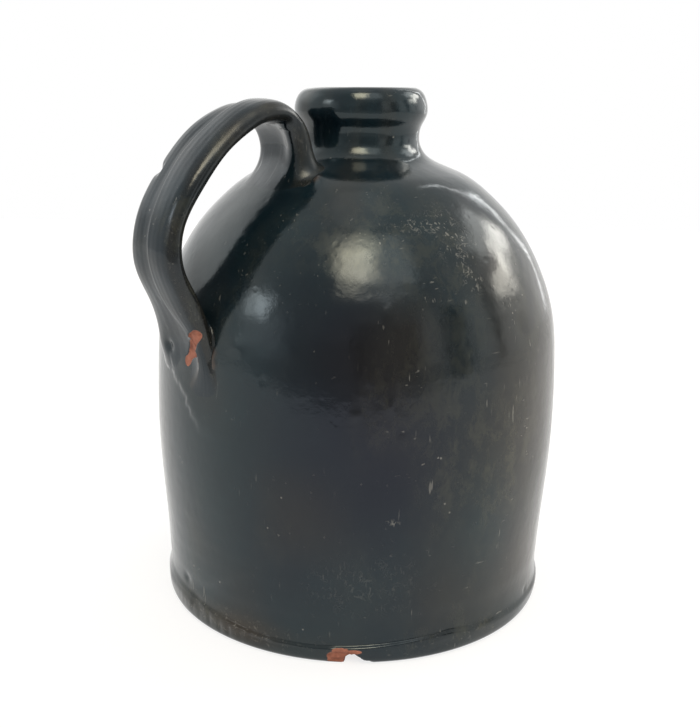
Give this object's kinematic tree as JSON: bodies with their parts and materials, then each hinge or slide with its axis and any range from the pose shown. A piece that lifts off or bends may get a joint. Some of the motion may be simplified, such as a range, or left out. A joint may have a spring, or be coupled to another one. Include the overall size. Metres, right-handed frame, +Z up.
{
  "type": "redware jug",
  "caption": "Round-bodied glazed redware jug with a domed shoulder, a short neck with a rolled lip, a strap handle and a low foot.",
  "frame": {"origin": "middle of the flat base, on the surface that the jug stands on", "axes": "+Z up from the base to the lip; the handle stands on the -X side, in the plane Y = 0"},
  "size_m": [0.167, 0.1542, 0.1932],
  "materials": {
    "glazed_clay": "glossy near-black glaze over red clay"
  },
  "bodies": {
    "root": {"jug": "glazed_clay"}
  },
  "joints": []
}
